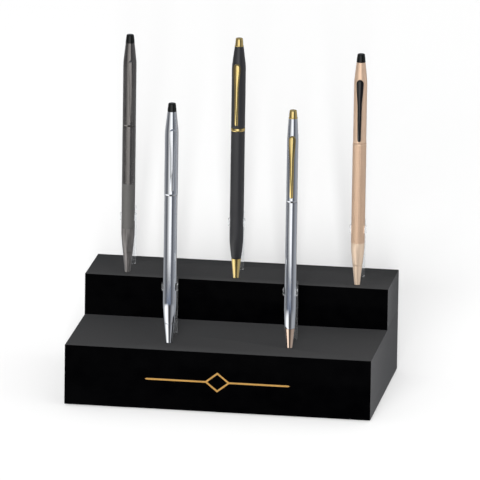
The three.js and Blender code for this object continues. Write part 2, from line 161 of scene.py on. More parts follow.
def speckle(finish, size, detail=3, stretch=(1, 1, 1)):
    """A fine noise over the piece, from 0 to 1, with a grain about size millimetres across."""
    tree = finish.node_tree
    place = add_node(tree, "TexCoord", {}).outputs["Object"]
    shape = add_node(tree, "Mapping", {"Vector": place, "Scale": stretch}).outputs["Vector"]
    noise = add_node(tree, "TexNoise", {"Vector": shape, "Scale": 1000 / size, "Detail": detail})
    return noise.outputs["Fac"]


pattern_low = 0.3
pattern_high = 0.7


def tint(finish, pattern, dark, light):
    """Vary the colour between two by a pattern."""
    ramp = add_node(finish.node_tree, "ValToRGB", {"Fac": pattern})
    first, last = ramp.color_ramp.elements
    first.position = pattern_low
    first.color = (*dark, 1)
    last.position = pattern_high
    last.color = (*light, 1)
    drive(finish, "Base Color", ramp.outputs["Color"])


def spread(finish, pattern, low, high):
    """Vary the roughness between two values by a pattern."""
    rough = rescale(finish.node_tree, pattern, (pattern_low, pattern_high), (low, high))
    drive(finish, "Roughness", rough)


def raise_surface(finish, pattern, depth):
    """Let a pattern stand out of the surface by depth millimetres."""
    relief = {"Height": pattern, "Strength": 1, "Distance": mm(depth)}
    bump = add_node(finish.node_tree, "Bump", relief)
    drive(finish, "Normal", bump.outputs["Normal"])


def grained_finish(name, colours, rough, size, detail=3, stretch=(1, 1, 1), relief=0, **plain):
    """A finish whose colour and roughness vary with a fine grain, which can stand out by relief.

    The three colours are the plain one, the darkest and the lightest.
    """
    finish = mixed_finish(name, colours[0], **plain)
    grain = speckle(finish, size, detail, stretch)
    tint(finish, grain, *colours[1:])
    spread(finish, grain, *rough)
    if relief > 0:
        raise_surface(finish, grain, relief)
    return finish


rubber = grained_finish(
    "moulded_rubber",
    ((0.014, 0.014, 0.014), (0.011, 0.011, 0.011), (0.019, 0.019, 0.018)),
    rough=(0.75, 0.95),
    size=0.5,
    relief=0.03,
    specular=0.3,
)

foot_profile = [
    (3.2, 0),
    (4.6, 0.08),
    (5.1, 0.3),
    (5.4, 0.7),
    (5.45, 1.1),
    (5.45, 2.3),
    (5.2, 2.6),
]
corners = ("front_left", "front_right", "back_left", "back_right")


def at_corners(first, node_kind, name_kind):
    """Give the front left piece and then a copy of it at each other corner, with its own mesh."""
    first_x, first_y, _ = middle_of(f"front_left_{node_kind}")
    yield "front_left", first
    for corner in corners[1:]:
        x, y, _ = middle_of(f"{corner}_{node_kind}")
        piece = first.copy()
        piece.data = first.data.copy()
        piece.name = f"{corner}_{name_kind}"
        piece.data.transform(Matrix.Translation(mm(x - first_x, y - first_y, 0)))
        bpy.context.collection.objects.link(piece)
        yield corner, piece


foot_x, foot_y, _ = middle_of("front_left_foot")
first_foot = settle(turn_on_lathe("front_left_bumper", foot_x, foot_y, foot_profile), rubber)
for corner, foot in at_corners(first_foot, "foot", "bumper"):
    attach(foot, "root")
    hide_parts(f"{corner}_foot")

# Base plate: a flat sheet of black plastic that closes the hollow lower step from below.
# It is milled with four foot recesses and four countersunk holes, and its face has a fine matt grain.

plate_finish = grained_finish(
    "grained_black_sheet",
    ((0.01, 0.01, 0.0105), (0.008, 0.008, 0.0085), (0.014, 0.014, 0.0145)),
    rough=(0.5, 0.72),
    size=0.7,
    detail=5,
    relief=0.02,
    specular=0.35,
)


def coat(node, finish):
    """Give a CAD node that is carried over its finish."""
    cad_nodes[node].data.materials.clear()
    cad_nodes[node].data.materials.append(finish)


coat("base_plate", plate_finish)

# Screws of the stand: zinc plated steel, four countersunk ones with a cross recess under the plate and
# two pan heads inside the lower step, which hold the upper step and are never seen.

zinc = grained_finish(
    "zinc_plated_steel",
    ((0.56, 0.57, 0.58), (0.48, 0.49, 0.5), (0.6, 0.61, 0.61)),
    rough=(0.24, 0.42),
    size=0.4,
    metallic=1,
)
for side in ("left", "right"):
    coat(f"{side}_step_screw", zinc)


def block(name, low, high, edge=0):
    """A block between two corners, in millimetres, with all its edges rounded by edge."""
    let_go()
    size = [b - a for a, b in zip(low, high)]
    middle = [(a + b) / 2 for a, b in zip(low, high)]
    bpy.ops.mesh.primitive_cube_add(size=1, location=mm(*middle), scale=mm(*size))
    bpy.ops.object.transform_apply(location=True, rotation=True, scale=True)
    piece = bpy.context.object
    piece.name = name
    if edge > 0:
        bpy.ops.object.mode_set(mode="EDIT")
        bpy.ops.mesh.select_all(action="SELECT")
        bpy.ops.mesh.bevel(offset=mm(edge), segments=2, profile=0.5, affect="EDGES")
        bpy.ops.object.mode_set(mode="OBJECT")
    return piece


def join_shapes(piece, tool, how):
    """Cut the tool out of the piece (DIFFERENCE) or weld it on (UNION), then throw the tool away."""
    let_go()
    piece.select_set(True)
    bpy.context.view_layer.objects.active = piece
    step = piece.modifiers.new(how.lower(), "BOOLEAN")
    step.operation = how
    step.solver = "EXACT"
    step.object = tool
    bpy.ops.object.modifier_apply(modifier=step.name)
    bpy.data.objects.remove(tool)


screw_profile = [
    (2.3, 0.8),
    (2.72, 0.86),
    (2.8, 0.98),
    (2.76, 1.1),
    (1.5, 2.35),
    (1.42, 2.6),
    (1.42, 10.9),
    (0.9, 11.75),
]
screw_x, screw_y, _ = middle_of("front_left_plate_screw")
first_screw = turn_on_lathe("front_left_plate_fixing", screw_x, screw_y, screw_profile, sides=40)
recess_long = 1.55
recess_half = 0.32
recess_low = 0.5
recess_top = 2
for half_x, half_y in ((recess_long, recess_half), (recess_half, recess_long)):
    low = (screw_x - half_x, screw_y - half_y, recess_low)
    high = (screw_x + half_x, screw_y + half_y, recess_top)
    join_shapes(first_screw, block("cross_recess", low, high), "DIFFERENCE")
settle(first_screw, zinc)
for corner, screw in at_corners(first_screw, "plate_screw", "plate_fixing"):
    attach(screw, "root")
    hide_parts(f"{corner}_plate_screw")

# Lower step: a hollow shell of black acrylic sheet, polished on its front and back; its two end faces are
# satin and a lighter grey, painted side light.
# Its tread is a satin face with a fine grain and a lighter grey, painted sheen, with a seat, a point hole
# and a mortise for each pen.

polished_black = grained_finish(
    "polished_black_acrylic",
    ((0.0003, 0.0003, 0.0004), (0.0002, 0.0002, 0.0003), (0.0005, 0.0005, 0.0006)),
    rough=(0.14, 0.2),
    size=9,
    detail=2,
    ior=1.055,
)

# Painted sheen: the tread's lighter grey stands in for light on the same black acrylic.
painted_sheen_tread = grained_finish(
    "black_tread_painted_sheen",
    ((0.036, 0.036, 0.0368), (0.0325, 0.0325, 0.0332), (0.0395, 0.0395, 0.0403)),
    rough=(0.62, 0.78),
    size=0.55,
    detail=4,
    relief=0.012,
    specular=0.12,
)

# Painted side light: the end faces' lighter grey stands in for light falling on the same black acrylic from
# the side.
painted_light_side = grained_finish(
    "black_side_painted_light",
    ((0.075, 0.075, 0.077), (0.069, 0.069, 0.0708), (0.082, 0.082, 0.084)),
    rough=(0.55, 0.7),
    size=0.55,
    detail=4,
    relief=0.012,
    specular=0.25,
)

pen_names = ("graphite_pen", "chrome_pen", "black_pen", "two_tone_pen", "rose_gold_pen")
pens_above = ("graphite_pen", "black_pen", "rose_gold_pen")
pens_below = ("chrome_pen", "two_tone_pen")
stand_edge = 0.25
wall = 3
tread_sheet = 3.5


def cylinder(name, x, y, low, high, radius, sides=64):
    """An upright cylinder between two heights, in millimetres."""
    let_go()
    bpy.ops.mesh.primitive_cylinder_add(
        vertices=sides,
        radius=mm(radius),
        depth=mm(high - low),
        location=mm(x, y, (low + high) / 2),
    )
    piece = bpy.context.object
    piece.name = name
    return piece


def drill(piece, x, y, low, high, radius, sides=64):
    """Cut an upright round hole between two heights."""
    join_shapes(piece, cylinder("hole", x, y, low, high, radius, sides), "DIFFERENCE")


cut_past = 1
cut_deep = 5
seat_radius = 1.9
seat_deep = 0.5
point_hole_radius = 1.25
mortise_half = 1.3
mortise_near = 16.7
mortise_far = 19.3


def cut_tread(step, pen, tread):
    """Cut a pen's seat, the hole for its writing point and its holder's mortise into the tread."""
    x, y, _ = middle_of(f"{pen}_barrel")
    drill(step, x, y, tread - seat_deep, tread + cut_past, seat_radius)
    drill(step, x, y, tread - cut_deep, tread + cut_past, point_hole_radius)
    low = (x - mortise_half, y + mortise_near, tread - cut_deep)
    high = (x + mortise_half, y + mortise_far, tread + cut_past)
    join_shapes(step, block("mortise", low, high), "DIFFERENCE")


def corners_of(node):
    """The low and the high corner of a CAD node's box, in millimetres."""
    return [list(1000 * corner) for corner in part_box(node)]


def step_shell(name, node, pens):
    """One step of the stand: a rounded block, hollowed from below and cut for its pens."""
    low, high = corners_of(node)
    step = block(name, low, high, edge=stand_edge)
    hollow_low = (low[0] + wall, low[1] + wall, low[2] - cut_past)
    hollow_high = (high[0] - wall, high[1] - wall, high[2] - tread_sheet)
    join_shapes(step, block("hollow", hollow_low, hollow_high), "DIFFERENCE")
    for pen in pens:
        cut_tread(step, pen, high[2])
    return step


facing = 0.9
face_slack = 0.1
tread_slack = 0.6


def finish_step(step, tread):
    """Give the step its three finishes and its place on the stand: the black, and lighter copies of it as
    painted sheen on the tread and painted side light on the end faces.
    """
    settle(step, polished_black, painted_sheen_tread, painted_light_side, crease=40)
    outside = max(point.co.x for point in step.data.vertices) - mm(face_slack)
    for face in step.data.polygons:
        on_top = face.normal.z > facing and face.center.z > mm(tread) - mm(tread_slack)
        on_side = abs(face.normal.x) > facing and abs(face.center.x) > outside
        face.material_index = 1 if on_top else 2 if on_side else 0
    step.visible_glossy = False
    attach(step, "root")


corner_x = 76
corner_y = 46
corner_half = 4.6
corner_low = 3.8
corner_high = 31.5
screw_hole = 1.6
screw_hole_sides = 24
plate_hole_low = 2
plate_hole_high = 12.8
tread_hole_low = 28
tread_hole_high = 36
lower_low, lower_high = corners_of("lower_step")
lower_step = step_shell("lower_step_shell", "lower_step", pens_below)
for x in (-corner_x, corner_x):
    for y in (-corner_y, corner_y):
        low = (x - corner_half, y - corner_half, corner_low)
        high = (x + corner_half, y + corner_half, corner_high)
        join_shapes(lower_step, block("corner_post", low, high), "UNION")
        drill(lower_step, x, y, plate_hole_low, plate_hole_high, screw_hole, screw_hole_sides)
for side in ("left", "right"):
    x, y, _ = middle_of(f"{side}_step_screw")
    drill(lower_step, x, y, tread_hole_low, tread_hole_high, screw_hole, screw_hole_sides)

# Front inlay: a lozenge outline between two thin pointed rules, cut from thin brass sheet, gold plated
# and bonded flush into a pocket of the front face.

inlay_x, _, inlay_z = middle_of("front_inlay")
inlay_front = lower_low[1]
inlay_thick = 0.45
pocket_deep = 0.6
pocket_gap = 0.1


def pick(piece, kind, wanted):
    """Select the points, edges or faces for which wanted(one of them) is true, and edit them."""
    let_go()
    piece.select_set(True)
    bpy.context.view_layer.objects.active = piece
    bpy.ops.object.mode_set(mode="EDIT")
    bpy.ops.mesh.select_all(action="DESELECT")
    bpy.ops.mesh.select_mode(type=kind)
    bpy.ops.object.mode_set(mode="OBJECT")
    mesh = piece.data
    for part in {"VERT": mesh.vertices, "EDGE": mesh.edges, "FACE": mesh.polygons}[kind]:
        part.select = wanted(part)
    bpy.ops.object.mode_set(mode="EDIT")


def lozenge_plate(name, wide, tall, back):
    """A four-sided lozenge plate, its face on the front of the stand."""
    let_go()
    bpy.ops.mesh.primitive_cylinder_add(
        vertices=4,
        radius=0.5,
        depth=1,
        location=mm(inlay_x, (inlay_front + back) / 2, inlay_z),
        rotation=(math.pi / 2, 0, 0),
        scale=mm(wide, tall, back - inlay_front),
    )
    bpy.ops.object.transform_apply(location=True, rotation=True, scale=True)
    piece = bpy.context.object
    piece.name = name
    return piece


def pointed_rule(name, length, tall, point, back):
    """A thin rule across the front whose two ends are drawn together to points."""
    low = (inlay_x - length / 2 + point, inlay_front, inlay_z - tall / 2)
    high = (inlay_x + length / 2 - point, back, inlay_z + tall / 2)
    piece = block(name, low, high)
    centre = mm(inlay_x, inlay_front, inlay_z)
    for end in (-1, 1):
        pick(piece, "FACE", lambda face: face.normal.x * end > facing)
        extrude(mm(end * point, 0, 0))
        bpy.ops.transform.resize(value=(1, 1, 0.1), center_override=centre)
        bpy.ops.object.mode_set(mode="OBJECT")
    return piece


lozenge_wide = 14
lozenge_tall = 11
window_wide = 11.1
window_tall = 8.75
rule_long = 79
rule_tall = 0.9


def inlay_shape(name, grow, back):
    """The inlay's whole outline: lozenge and rule welded, with the lozenge's window cut out."""
    shape = lozenge_plate(name, lozenge_wide + 2 * grow, lozenge_tall + 2 * grow, back)
    rule = pointed_rule("rule", rule_long + 2 * grow, rule_tall + 2 * grow, rule_tall, back)
    join_shapes(shape, rule, "UNION")
    window = lozenge_plate("window", window_wide - 2 * grow, window_tall - 2 * grow, back)
    for corner in window.data.vertices:
        behind = corner.co.y > mm(inlay_front + inlay_thick / 2)
        corner.co.y += mm(cut_past if behind else -cut_past)
    join_shapes(shape, window, "DIFFERENCE")
    return shape


gold_leaf = grained_finish(
    "gold_inlay",
    ((0.83, 0.47, 0.13), (0.78, 0.43, 0.115), (0.9, 0.52, 0.155)),
    rough=(0.34, 0.46),
    size=0.3,
    stretch=(0.08, 1, 1),
    metallic=0.85,
)
inlay = inlay_shape("gold_front_inlay", 0, inlay_front + inlay_thick)
settle(inlay, gold_leaf)
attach(inlay, "root")
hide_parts("front_inlay")
pocket = inlay_shape("pocket", pocket_gap, inlay_front + pocket_deep)
for corner in pocket.data.vertices:
    if corner.co.y < mm(inlay_front + pocket_deep / 2):
        corner.co.y -= mm(cut_past)
join_shapes(lower_step, pocket, "DIFFERENCE")
finish_step(lower_step, lower_high[2])
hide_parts("lower_step")

# Upper step: a second hollow shell of the same black acrylic, standing on the back of the lower one.
# Two screws from inside the lower step hold it down, so a fine seam runs round it.

post_radius = 4.5
post_low = 34
post_high = 54.5
post_hole_high = 43.5
_, upper_high = corners_of("upper_step")
upper_step = step_shell("upper_step_shell", "upper_step", pens_above)
for side in ("left", "right"):
    x, y, _ = middle_of(f"{side}_step_screw")
    post = cylinder("screw_post", x, y, post_low, post_high, post_radius, sides=32)
    join_shapes(upper_step, post, "UNION")
    drill(upper_step, x, y, post_low - cut_past, post_hole_high, screw_hole, screw_hole_sides)
finish_step(upper_step, upper_high[2])
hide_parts("upper_step")

# Clear holders: one for each pen, moulded in clear acrylic with flame polished edges.
# A post stands in the tread's mortise behind the pen. Its arm carries an open collar that grips the barrel.

clear_acrylic = mixed_finish("clear_acrylic", (0.9, 0.915, 0.93), ior=1.03)
clear_shader = clear_acrylic.node_tree.nodes["Principled BSDF"]
clear_shader.inputs["Transmission Weight"].default_value = 0.95
acrylic_skin = speckle(clear_acrylic, 2.5)
spread(clear_acrylic, acrylic_skin, 0.02, 0.05)

barrel_radius = {
    "graphite_pen": 3.65,
    "chrome_pen": 3.53,
    "black_pen": 3.8,
    "two_tone_pen": 3.1,
    "rose_gold_pen": 3.72,
}
collar_top = 33
collar_tall = 4
collar_play = 0.2
collar_wall = 0.6
collar_round = 0.18
mouth = 140
arm_tall = 3.6
arm_end = 0.4
post_back = 19.5
post_front = 16.5
post_half = 1.5
post_round = 0.2
outer_bend_radius = 2.6
inner_bend_radius = 1.8
tenon_low = (-1.1, 16.9, -3.5)
tenon_high = (1.1, 19.1, 1)
tolerance = 0.01


def polish_edges(piece, radius, sharper):
    """Round each edge that is sharper than an angle, as a flame does."""
    soft = piece.modifiers.new("polished_edge", "BEVEL")
    soft.width = mm(radius)
    soft.segments = 3
    soft.limit_method = "ANGLE"
    soft.angle_limit = math.radians(sharper)
    bpy.ops.object.modifier_apply(modifier=soft.name)


def open_collar(name, radius):
    """The collar at the origin: a tube wall standing up, open at the front by the mouth's angle."""
    middle = radius + collar_play + collar_wall / 2
    collar = circle(name, 144, middle, (0, 0, collar_top - collar_tall))

    def in_mouth(point):
        return abs(math.degrees(math.atan2(point.co.x, -point.co.y))) < mouth / 2

    pick(collar, "VERT", in_mouth)
    bpy.ops.mesh.delete(type="VERT")
    bpy.ops.mesh.select_all(action="SELECT")
    extrude(mm(0, 0, collar_tall))
    bpy.ops.object.mode_set(mode="OBJECT")
    thick = collar.modifiers.new("wall", "SOLIDIFY")
    thick.thickness = mm(collar_wall)
    thick.offset = 0
    bpy.ops.object.modifier_apply(modifier=thick.name)
    polish_edges(collar, collar_round, 40)
    return collar


def post_and_arm(name, radius):
    """The post with its arm, in front of it at the top, its bend rounded inside and out."""
    arm_low = collar_top - arm_tall
    post = block(name, (-post_half, post_front, 0), (post_half, post_back, arm_low))
    pick(post, "FACE", lambda face: face.normal.z > facing)
    extrude(mm(0, 0, arm_tall))
    bpy.ops.object.mode_set(mode="OBJECT")
    pick(post, "FACE", lambda face: face.normal.y < -facing and face.center.z > mm(arm_low))
    extrude(mm(0, radius + arm_end - post_front, 0))
    bpy.ops.object.mode_set(mode="OBJECT")

    def ends(edge):
        return [1000 * post.data.vertices[index].co for index in edge.vertices]

    def outer_bend(edge):
        return all(end.z > collar_top - tolerance and end.y > post_back - tolerance for end in ends(edge))

    def inner_bend(edge):
        across = all(abs(end.y - post_front) < tolerance for end in ends(edge))
        return across and all(abs(end.z - arm_low) < tolerance for end in ends(edge))

    for bend, bend_radius, steps in (
        (outer_bend, outer_bend_radius, 10),
        (inner_bend, inner_bend_radius, 8),
    ):
        pick(post, "EDGE", bend)
        bpy.ops.mesh.bevel(offset=mm(bend_radius), segments=steps, profile=0.5, affect="EDGES")
        bpy.ops.object.mode_set(mode="OBJECT")
    polish_edges(post, post_round, 50)
    return post


for pen in pen_names:
    x, y, _ = middle_of(f"{pen}_barrel")
    tread = upper_high[2] if pen in pens_above else lower_high[2]
    holder = post_and_arm(f"{pen}_clear_holder", barrel_radius[pen])
    join_shapes(holder, open_collar("collar", barrel_radius[pen]), "UNION")
    join_shapes(holder, block("tenon", tenon_low, tenon_high), "UNION")
    holder.location = mm(x, y, tread)
    settle(holder, clear_acrylic, crease=35)
    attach(holder, "root")
    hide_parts(f"{pen}_holder")

# Nose cones: turned from brass and plated, each pushed into its barrel by a short spigot.
# The writing point comes out through the small hole in the end when the pen is twisted.


def nose_height(pen):
    """Where the pen's nose ends, in millimetres above the table."""
    return 1000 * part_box(f"{pen}_nose_cone")[0].z


def lift(profile, height):
    """A profile moved up by a height."""
    return [(radius, level + height) for radius, level in profile]


nose_profile = [
    (1.08, 0.35),
    (1.14, 0.06),
    (1.24, 0.0),
    (1.42, 0.02),
    (1.52, 0.12),
    (1.56, 0.3),
    (1.72, 2.2),
    (1.93, 4.4),
    (2.16, 6.6),
    (2.4, 8.8),
    (2.62, 10.9),
    (2.645, 11.08),
    (2.6, 11.19),
    (1.95, 11.2),
    (1.95, 14.1),
    (1.35, 14.15),
    (1.35, 2.0),
    (1.08, 1.0),
    (1.08, 0.35),
]

graphite = grained_finish(
    "graphite_plate",
    ((0.24, 0.225, 0.215), (0.215, 0.2, 0.192), (0.26, 0.245, 0.235)),
    rough=(0.14, 0.22),
    size=0.6,
    stretch=(1, 1, 0.1),
    metallic=0.96,
)

chrome = grained_finish(
    "chrome_plate",
    ((0.86, 0.88, 0.92), (0.84, 0.86, 0.9), (0.88, 0.9, 0.93)),
    rough=(0.05, 0.09),
    size=1.4,
    stretch=(1, 1, 0.15),
    metallic=1,
)

gold = grained_finish(
    "gold_plate",
    ((0.96, 0.73, 0.3), (0.94, 0.7, 0.27), (0.98, 0.76, 0.33)),
    rough=(0.08, 0.13),
    size=1.2,
    stretch=(1, 1, 0.3),
    metallic=1,
)

rose_gold = grained_finish(
    "rose_gold_plate",
    ((0.925, 0.66, 0.475), (0.895, 0.63, 0.45), (0.955, 0.69, 0.5)),
    rough=(0.34, 0.39),
    size=0.8,
    stretch=(1, 1, 0.2),
    metallic=0.72,
)

pale_gold = grained_finish(
    "pale_gold_plate",
    ((0.93, 0.7, 0.55), (0.91, 0.68, 0.53), (0.95, 0.72, 0.57)),
    rough=(0.08, 0.13),
    size=1.2,
    stretch=(1, 1, 0.3),
    metallic=1,
)

# The rose gold of the nose and the taper above it: a little smoother than the cap's, and its lighter colour
# is painted highlight.
painted_highlight_rose = grained_finish(
    "rose_gold_painted_highlight",
    ((0.985, 0.76, 0.57), (0.97, 0.745, 0.555), (1, 0.775, 0.585)),
    rough=(0.28, 0.32),
    size=1.2,
    stretch=(1, 1, 0.3),
    metallic=0.66,
)

brushed_graphite = grained_finish(
    "brushed_graphite",
    ((0.26, 0.245, 0.235), (0.16, 0.15, 0.144), (0.34, 0.32, 0.31)),
    rough=(0.28, 0.33),
    size=0.9,
    stretch=(1, 1, 0.06),
    metallic=0.8,
)

nose_finish = {
    "graphite_pen": (brushed_graphite, "graphite_lacquer"),
    "chrome_pen": (chrome, "chrome_plate"),
    "black_pen": (gold, "gold_plate"),
    "two_tone_pen": (pale_gold, "gold_plate"),
    "rose_gold_pen": (painted_highlight_rose, "rose_gold_plate"),
}
for pen in pen_names:
    x, y, _ = middle_of(f"{pen}_barrel")
    profile = lift(nose_profile, nose_height(pen))
    finish, finish_slot = nose_finish[pen]
    nose = settle(turn_on_lathe(f"{pen}_nose", x, y, profile, sides=72), finish)
    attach(nose, pen)
    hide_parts(f"{pen}_nose_cone")

# Barrels: slim brass tubes, drawn in towards the nose and plated or lacquered all over.
# A fine groove shows where each meets its nose, and another where it meets the cap.

pen_joint = {
    "graphite_pen": 82.7,
    "chrome_pen": 82.8,
    "black_pen": 83.8,
    "two_tone_pen": 81.6,
    "rose_gold_pen": 79.9,
}
ring_half = {pen: 0.85 if pen == "black_pen" else 0 for pen in pen_names}
nose_long = 11.2
taper_top = 23
taper_steps = 14
grip_low = 25.2
grip_high = 50.3
tube_wall = 0.7
seam_half = 0.075
mouth_radius = 2.66
mouth_low = nose_long + 0.16
spigot_radius = 2.13
spigot_low = nose_long + 0.05


def barrel_profile(pen):
    """The barrel's outline from its nose seam to its cap seam, out and back along its bore."""
    full = barrel_radius[pen]
    top = pen_joint[pen] - ring_half[pen] - seam_half
    outline = [(spigot_radius, spigot_low), (2.6, nose_long + 0.06), (mouth_radius, mouth_low)]
    for step in range(1, taper_steps + 1):
        share = step / taper_steps
        swell = 1 - (1 - share) ** 1.5
        level = mouth_low + (taper_top - mouth_low) * share
        outline.append((mouth_radius + (full - mouth_radius) * swell, level))
    outline += [
        (full, taper_top + 1),
        (full, grip_low),
        (full, grip_high),
        (full, grip_high + 0.6),
        (full, top - 1.4),
        (full, top - 0.9),
        (full, top - 0.12),
        (full - 0.03, top - 0.04),
        (full - 0.12, top),
        (full - tube_wall, top),
        (full - tube_wall, taper_top),
        (spigot_radius, nose_long + 3.1),
        (spigot_radius, spigot_low),
    ]
    return outline


satin_black = grained_finish(
    "satin_black_lacquer",
    ((0.0135, 0.0135, 0.0155), (0.012, 0.012, 0.014), (0.015, 0.015, 0.017)),
    rough=(0.32, 0.4),
    size=0.35,
    detail=4,
    relief=0.006,
    specular=0.85,
)

barrel_finish = {
    "graphite_pen": (graphite, "graphite_lacquer"),
    "chrome_pen": (chrome, "chrome_plate"),
    "black_pen": (satin_black, "satin_black"),
    "two_tone_pen": (chrome, "chrome_plate"),
    "rose_gold_pen": (rose_gold, "rose_gold_plate"),
}
graphite_grip = grained_finish(
    "matt_graphite_grip",
    ((0.2, 0.195, 0.185), (0.175, 0.17, 0.162), (0.225, 0.22, 0.21)),
    rough=(0.5, 0.62),
    size=0.3,
    detail=4,
    relief=0.008,
    metallic=0.7,
)


def calculate(tree, operation, *numbers):
    """The result of one operation on one or two numbers, each an output or a plain value."""
    step = add_node(tree, "Math", dict(enumerate(numbers)))
    step.operation = operation
    return step.outputs["Value"]


def lattice(finish, x, y, around, depth):
    """Engrave a fine diamond lattice round the upright axis at x, y: two sets of crossing helices."""
    tree = finish.node_tree
    place = add_node(tree, "TexCoord", {}).outputs["Object"]
    centre = add_node(tree, "Mapping", {"Vector": place, "Location": mm(-x, -y, 0)})
    parts = add_node(tree, "SeparateXYZ", {"Vector": centre.outputs["Vector"]}).outputs
    bearing = calculate(tree, "ARCTAN2", parts["Y"], parts["X"])
    turns = calculate(tree, "MULTIPLY", bearing, around)
    steep = 1000 * around / barrel_radius["rose_gold_pen"]
    climb = calculate(tree, "MULTIPLY", parts["Z"], steep)
    helices = [calculate(tree, way, turns, climb) for way in ("ADD", "SUBTRACT")]
    waves = [calculate(tree, "SINE", helix) for helix in helices]
    crossed = calculate(tree, "MULTIPLY", *waves)
    raise_surface(finish, crossed, depth)
    return crossed


rose_lattice = mixed_finish("engraved_rose_gold", (0.965, 0.685, 0.48), metallic=0.78)
lattice_x, lattice_y, _ = middle_of("rose_gold_pen_barrel")
diamonds = lattice(rose_lattice, lattice_x, lattice_y, 14, 0.05)
# The colour follows the engraving, darker in its grooves and lighter on the raised diamonds: painted shade
# in the grooves.
tint(rose_lattice, diamonds, (0.93, 0.64, 0.445), (1, 0.73, 0.515))
spread(rose_lattice, diamonds, 0.36, 0.43)

flute_lines = 128
flute_every = 8
flute_share = 0.979
outside_from = 3.2
flute_clear = 1.2


def cut_flutes(piece, x, y, low, high):
    """Draw every eighth upright line of a turned piece inwards between two heights, as a fine groove."""

    def in_flute(point):
        place = 1000 * point.co
        out = math.hypot(place.x - x, place.y - y)
        bearing = math.degrees(math.atan2(place.y - y, place.x - x))
        line = bearing * flute_lines / 360
        on_line = abs(line / flute_every - round(line / flute_every)) * flute_every < 0.1
        return on_line and low < place.z < high and out > outside_from

    pick(piece, "VERT", in_flute)
    thinner = (flute_share, flute_share, 1)
    bpy.ops.transform.resize(value=thinner, center_override=mm(x, y, low))
    bpy.ops.object.mode_set(mode="OBJECT")


lattice_low = 24
lattice_high = pen_joint["rose_gold_pen"] - 1.2
# The taper under each zone gets the second finish; on the rose gold pen that is the rose gold with painted
# highlight.
zones = {
    "graphite_pen": (graphite_grip, brushed_graphite, grip_low, grip_high),
    "rose_gold_pen": (rose_lattice, painted_highlight_rose, lattice_low, lattice_high),
}
for pen in pen_names:
    x, y, _ = middle_of(f"{pen}_barrel")
    base = nose_height(pen)
    fluted = pen == "graphite_pen"
    profile = lift(barrel_profile(pen), base)
    sides = flute_lines if fluted else 96
    tube = turn_on_lathe(f"{pen}_barrel_tube", x, y, profile, sides)
    if fluted:
        cut_flutes(tube, x, y, base + grip_high + 0.3, base + pen_joint[pen] - flute_clear)
    finish, finish_slot = barrel_finish[pen]
    settle(tube, finish)
    if pen in zones:
        zone_finish, taper_finish, zone_low, zone_high = zones[pen]
        tube.data.materials.append(zone_finish)
        tube.data.materials.append(taper_finish)
        for face in tube.data.polygons:
            if face.center.z <= mm(base + zone_low):
                face.material_index = 2
            elif face.center.z < mm(base + zone_high):
                face.material_index = 1
    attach(tube, pen)
    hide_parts(f"{pen}_barrel")

# Inside the pens: a steel ink refill, and the brass sleeve of the twist mechanism fixed in the cap.
# Both keep their CAD shape and get a turned brass and a drawn steel finish.

turned_brass = grained_finish(
    "turned_brass",
    ((0.6, 0.42, 0.16), (0.53, 0.36, 0.13), (0.64, 0.46, 0.19)),
    rough=(0.25, 0.38),
    size=0.5,
    stretch=(0.2, 0.2, 3),
    metallic=1,
)
drawn_steel = grained_finish(
    "drawn_steel",
    ((0.6, 0.6, 0.6), (0.54, 0.54, 0.54), (0.64, 0.64, 0.63)),
    rough=(0.2, 0.32),
    size=0.5,
    stretch=(1, 1, 0.1),
    metallic=1,
)
for pen in pen_names:
    coat(f"{pen}_refill", drawn_steel)
    coat(f"{pen}_twist_mechanism", turned_brass)

# Centre ring of the black pen: a narrow band turned from brass and gold plated, its edges softly rounded.
# It is pressed on between the barrel and the cap and turns with the cap.

cap_radius = {
    "graphite_pen": 3.62,
    "chrome_pen": 3.65,
    "black_pen": 3.8,
    "two_tone_pen": 3.03,
    "rose_gold_pen": 3.57,
}
ring_low = pen_joint["black_pen"] - ring_half["black_pen"]
ring_high = ring_low + 1.7
ring_out = cap_radius["black_pen"] + 0.08
ring_in = barrel_radius["black_pen"] - tube_wall
ring_profile = [
    (ring_in, ring_low),
    (ring_out - 0.1, ring_low),
    (ring_out - 0.03, ring_low + 0.02),
    (ring_out, ring_low + 0.08),
    (ring_out, ring_low + 0.5),
    (ring_out, ring_low + 1.2),
    (ring_out, ring_low + 1.62),
    (ring_out - 0.03, ring_low + 1.68),
    (ring_out - 0.1, ring_high),
    (ring_in, ring_high),
    (ring_in, ring_low),
]
x, y, _ = middle_of("black_pen_barrel")
ring_profile = lift(ring_profile, nose_height("black_pen"))
ring = settle(turn_on_lathe("black_pen_gold_ring", x, y, ring_profile, sides=96), gold)
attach(ring, "black_pen_top")
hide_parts("black_pen_centre_ring")

# Caps: brass tubes like the barrels, drawn in at the top to carry the finial.
# A narrow mortise behind the clip's head takes the clip's tenon.

cap_long = {pen: 49.5 if pen == "rose_gold_pen" else 50.8 for pen in pen_names}
finial_tall = 4.6
cap_taper = 11.5
cap_top_radius = 2.4
clip_below_top = 13.7
stud_bore = 1.15
stud_deep = 4.15
mortise_below_clip = 1.25
clip_mortise_tall = 1.6
clip_mortise_half = 0.9
clip_mortise_deep = 1.2
pen_turn = {
    "graphite_pen": 22,
    "chrome_pen": 16,
    "black_pen": -6,
    "two_tone_pen": 3,
    "rose_gold_pen": 3,
}


